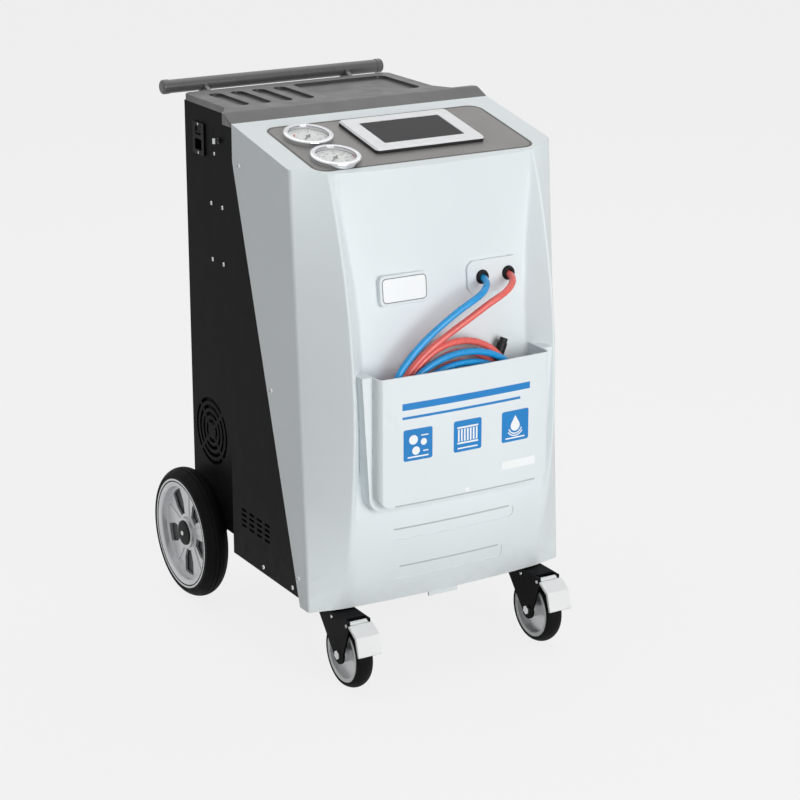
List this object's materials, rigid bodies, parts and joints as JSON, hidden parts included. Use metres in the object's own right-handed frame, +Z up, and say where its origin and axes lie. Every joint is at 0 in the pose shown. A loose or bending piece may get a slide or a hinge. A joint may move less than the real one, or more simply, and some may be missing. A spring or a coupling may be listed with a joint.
{
  "type": "refrigerant recovery machine",
  "caption": "Wheeled refrigerant recovery station with a moulded front, hose pocket, sloping gauge and screen panel, push bar, rear wheels and braked swivel casters.",
  "frame": {"origin": "on the floor under the middle of the machine's box", "axes": "+Z up, the front with the hose pocket faces -Y, the push bar is at +Y, +X is right as seen from the front"},
  "size_m": [0.546, 0.7225, 0.9745],
  "materials": {
    "cover_white": "satin",
    "panel_black": "fine powder coat",
    "tray_grey": "fine grain",
    "bar_black": "satin",
    "overlay_dark": "satin film",
    "screen_silver": "satin silver",
    "screen_black": "glossy",
    "gauge_chrome": "polished",
    "dial_white": "matt",
    "lens_clear": "clear",
    "needle_black": "matt",
    "case_black": "satin",
    "wheel_grey": "satin",
    "tyre_black": "matt rubber",
    "caster_black": "satin",
    "steel": "bright",
    "pedal_white": "satin",
    "grommet_black": "matt",
    "inlet_black": "satin",
    "fan_black": "satin",
    "fin_metal": "bare",
    "machine_black": "satin",
    "pump_grey": "cast",
    "tank_grey": "satin",
    "hose_blue": "satin",
    "hose_red": "satin",
    "coupler_black": "satin"
  },
  "bodies": {
    "machine": {"chassis_floor": "panel_black", "left_side_panel": "panel_black", "right_side_panel": "panel_black", "rear_panel": "panel_black", "front_cover": "cover_white", "hose_pocket": "cover_white", "badge_plate": "cover_white", "port_plate": "cover_white", "hose_grommets": "grommet_black", "top_tray": "tray_grey", "push_bar": "bar_black", "bar_brackets": "bar_black", "control_panel": "overlay_dark", "screen_bezel": "screen_silver", "screen_glass": "screen_black", "low_gauge_case": "case_black", "low_gauge_bezel": "gauge_chrome", "low_gauge_dial": "dial_white", "low_gauge_lens": "lens_clear", "high_gauge_case": "case_black", "high_gauge_bezel": "gauge_chrome", "high_gauge_dial": "dial_white", "high_gauge_lens": "lens_clear", "rear_axle": "steel", "axle_brackets": "panel_black", "left_caster_plate": "caster_black", "right_caster_plate": "caster_black", "power_inlet": "inlet_black", "fan_frame": "fan_black", "condenser": "fin_metal", "compressor": "machine_black", "vacuum_pump": "pump_grey", "tank_scale": "fin_metal", "refrigerant_tank": "tank_grey", "blue_hose": "hose_blue", "blue_coil": "hose_blue", "blue_coupler": "coupler_black", "red_hose": "hose_red", "red_coil": "hose_red", "red_coupler": "coupler_black"},
    "left_wheel": {"left_wheel_rim": "wheel_grey", "left_wheel_tyre": "tyre_black"},
    "right_wheel": {"right_wheel_rim": "wheel_grey", "right_wheel_tyre": "tyre_black"},
    "left_fork": {"left_caster_fork": "caster_black", "left_caster_axle": "steel"},
    "left_roller": {"left_caster_wheel": "wheel_grey", "left_caster_tyre": "tyre_black"},
    "left_pedal": {"left_brake_pedal": "pedal_white"},
    "right_fork": {"right_caster_fork": "caster_black", "right_caster_axle": "steel"},
    "right_roller": {"right_caster_wheel": "wheel_grey", "right_caster_tyre": "tyre_black"},
    "right_pedal": {"right_brake_pedal": "pedal_white"},
    "low_needle": {"low_gauge_needle": "needle_black"},
    "high_needle": {"high_gauge_needle": "needle_black"},
    "rocker": {"rocker_switch": "inlet_black"},
    "fan": {"fan_impeller": "fan_black"}
  },
  "joints": [
    {"name": "left_wheel_spin", "type": "hinge", "parent": "machine", "child": "left_wheel", "pos_m": [-0.25, 0.236, 0.125], "axis": [1, 0, 0], "continuous": true},
    {"name": "right_wheel_spin", "type": "hinge", "parent": "machine", "child": "right_wheel", "pos_m": [0.25, 0.236, 0.125], "axis": [1, 0, 0], "continuous": true},
    {"name": "left_caster_swivel", "type": "hinge", "parent": "machine", "child": "left_fork", "pos_m": [-0.197, -0.236, 0.14], "axis": [0, 0, 1], "continuous": true},
    {"name": "left_caster_spin", "type": "hinge", "parent": "left_fork", "child": "left_roller", "pos_m": [-0.197, -0.286, 0.0625], "axis": [1, 0, 0], "continuous": true},
    {"name": "left_brake_press", "type": "hinge", "parent": "left_fork", "child": "left_pedal", "pos_m": [-0.197, -0.315, 0.127], "axis": [1, 0, 0], "range_deg": [0, 8]},
    {"name": "right_caster_swivel", "type": "hinge", "parent": "machine", "child": "right_fork", "pos_m": [0.197, -0.236, 0.14], "axis": [0, 0, 1], "continuous": true},
    {"name": "right_caster_spin", "type": "hinge", "parent": "right_fork", "child": "right_roller", "pos_m": [0.197, -0.286, 0.0625], "axis": [1, 0, 0], "continuous": true},
    {"name": "right_brake_press", "type": "hinge", "parent": "right_fork", "child": "right_pedal", "pos_m": [0.197, -0.315, 0.127], "axis": [1, 0, 0], "range_deg": [0, 8]},
    {"name": "low_needle_turn", "type": "hinge", "parent": "machine", "child": "low_needle", "pos_m": [-0.16, -0.08781, 0.93449], "axis": [0, 0.1977, -0.9803], "range_deg": [0, 270], "stiffness_Nm_per_rad": 0.005},
    {"name": "high_needle_turn", "type": "hinge", "parent": "machine", "child": "high_needle", "pos_m": [-0.16, -0.18388, 0.91512], "axis": [0, 0.1977, -0.9803], "range_deg": [0, 270], "stiffness_Nm_per_rad": 0.005},
    {"name": "rocker_tilt", "type": "hinge", "parent": "machine", "child": "rocker", "pos_m": [-0.211, 0.226, 0.899], "axis": [0, -1, 0], "range_deg": [0, 20]},
    {"name": "fan_spin", "type": "hinge", "parent": "machine", "child": "fan", "pos_m": [-0.2, 0.206, 0.33], "axis": [1, 0, 0], "continuous": true}
  ]
}
